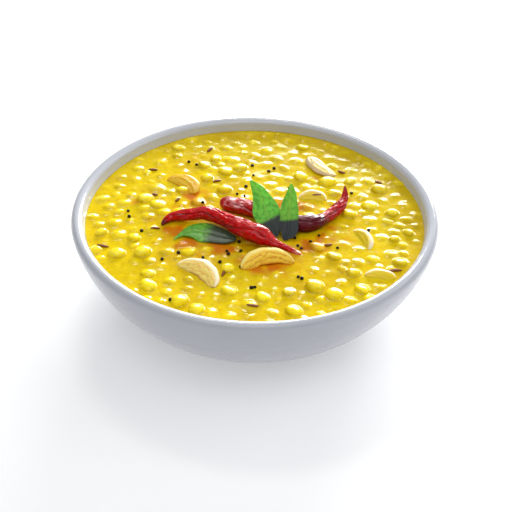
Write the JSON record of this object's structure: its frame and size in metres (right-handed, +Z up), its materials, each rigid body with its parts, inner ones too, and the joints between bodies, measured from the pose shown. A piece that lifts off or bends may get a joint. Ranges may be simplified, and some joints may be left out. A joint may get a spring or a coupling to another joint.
{
  "type": "bowl of dal tadka",
  "caption": "Round white glazed bowl filled nearly to the lip with thick yellow dal, topped with dried red chillies, curry leaves and fried garlic slices.",
  "frame": {"origin": "centre of the bowl's foot ring, on the ground it stands on", "axes": "+Z up along the bowl's axis; -Y is the front, the side that the bowl is seen from; +X is to the right seen from the front"},
  "size_m": [0.168, 0.168, 0.061],
  "materials": {
    "bowl_glaze": "gloss",
    "dal": "gloss",
    "dried_chilli": "satin",
    "curry_leaf": "satin",
    "fried_garlic": "satin",
    "mustard_seed": "satin",
    "cumin_seed": "matte"
  },
  "bodies": {
    "root": {"bowl": "bowl_glaze", "dal": "dal", "chilli_front": "dried_chilli", "chilli_back": "dried_chilli", "leaf_left": "curry_leaf", "leaf_mid": "curry_leaf", "leaf_right": "curry_leaf", "garlic_back_left": "fried_garlic", "garlic_front_left": "fried_garlic", "garlic_front_mid": "fried_garlic", "garlic_back_right": "fried_garlic", "garlic_right": "fried_garlic", "garlic_mid_right": "fried_garlic", "garlic_front_right": "fried_garlic"}
  },
  "joints": []
}
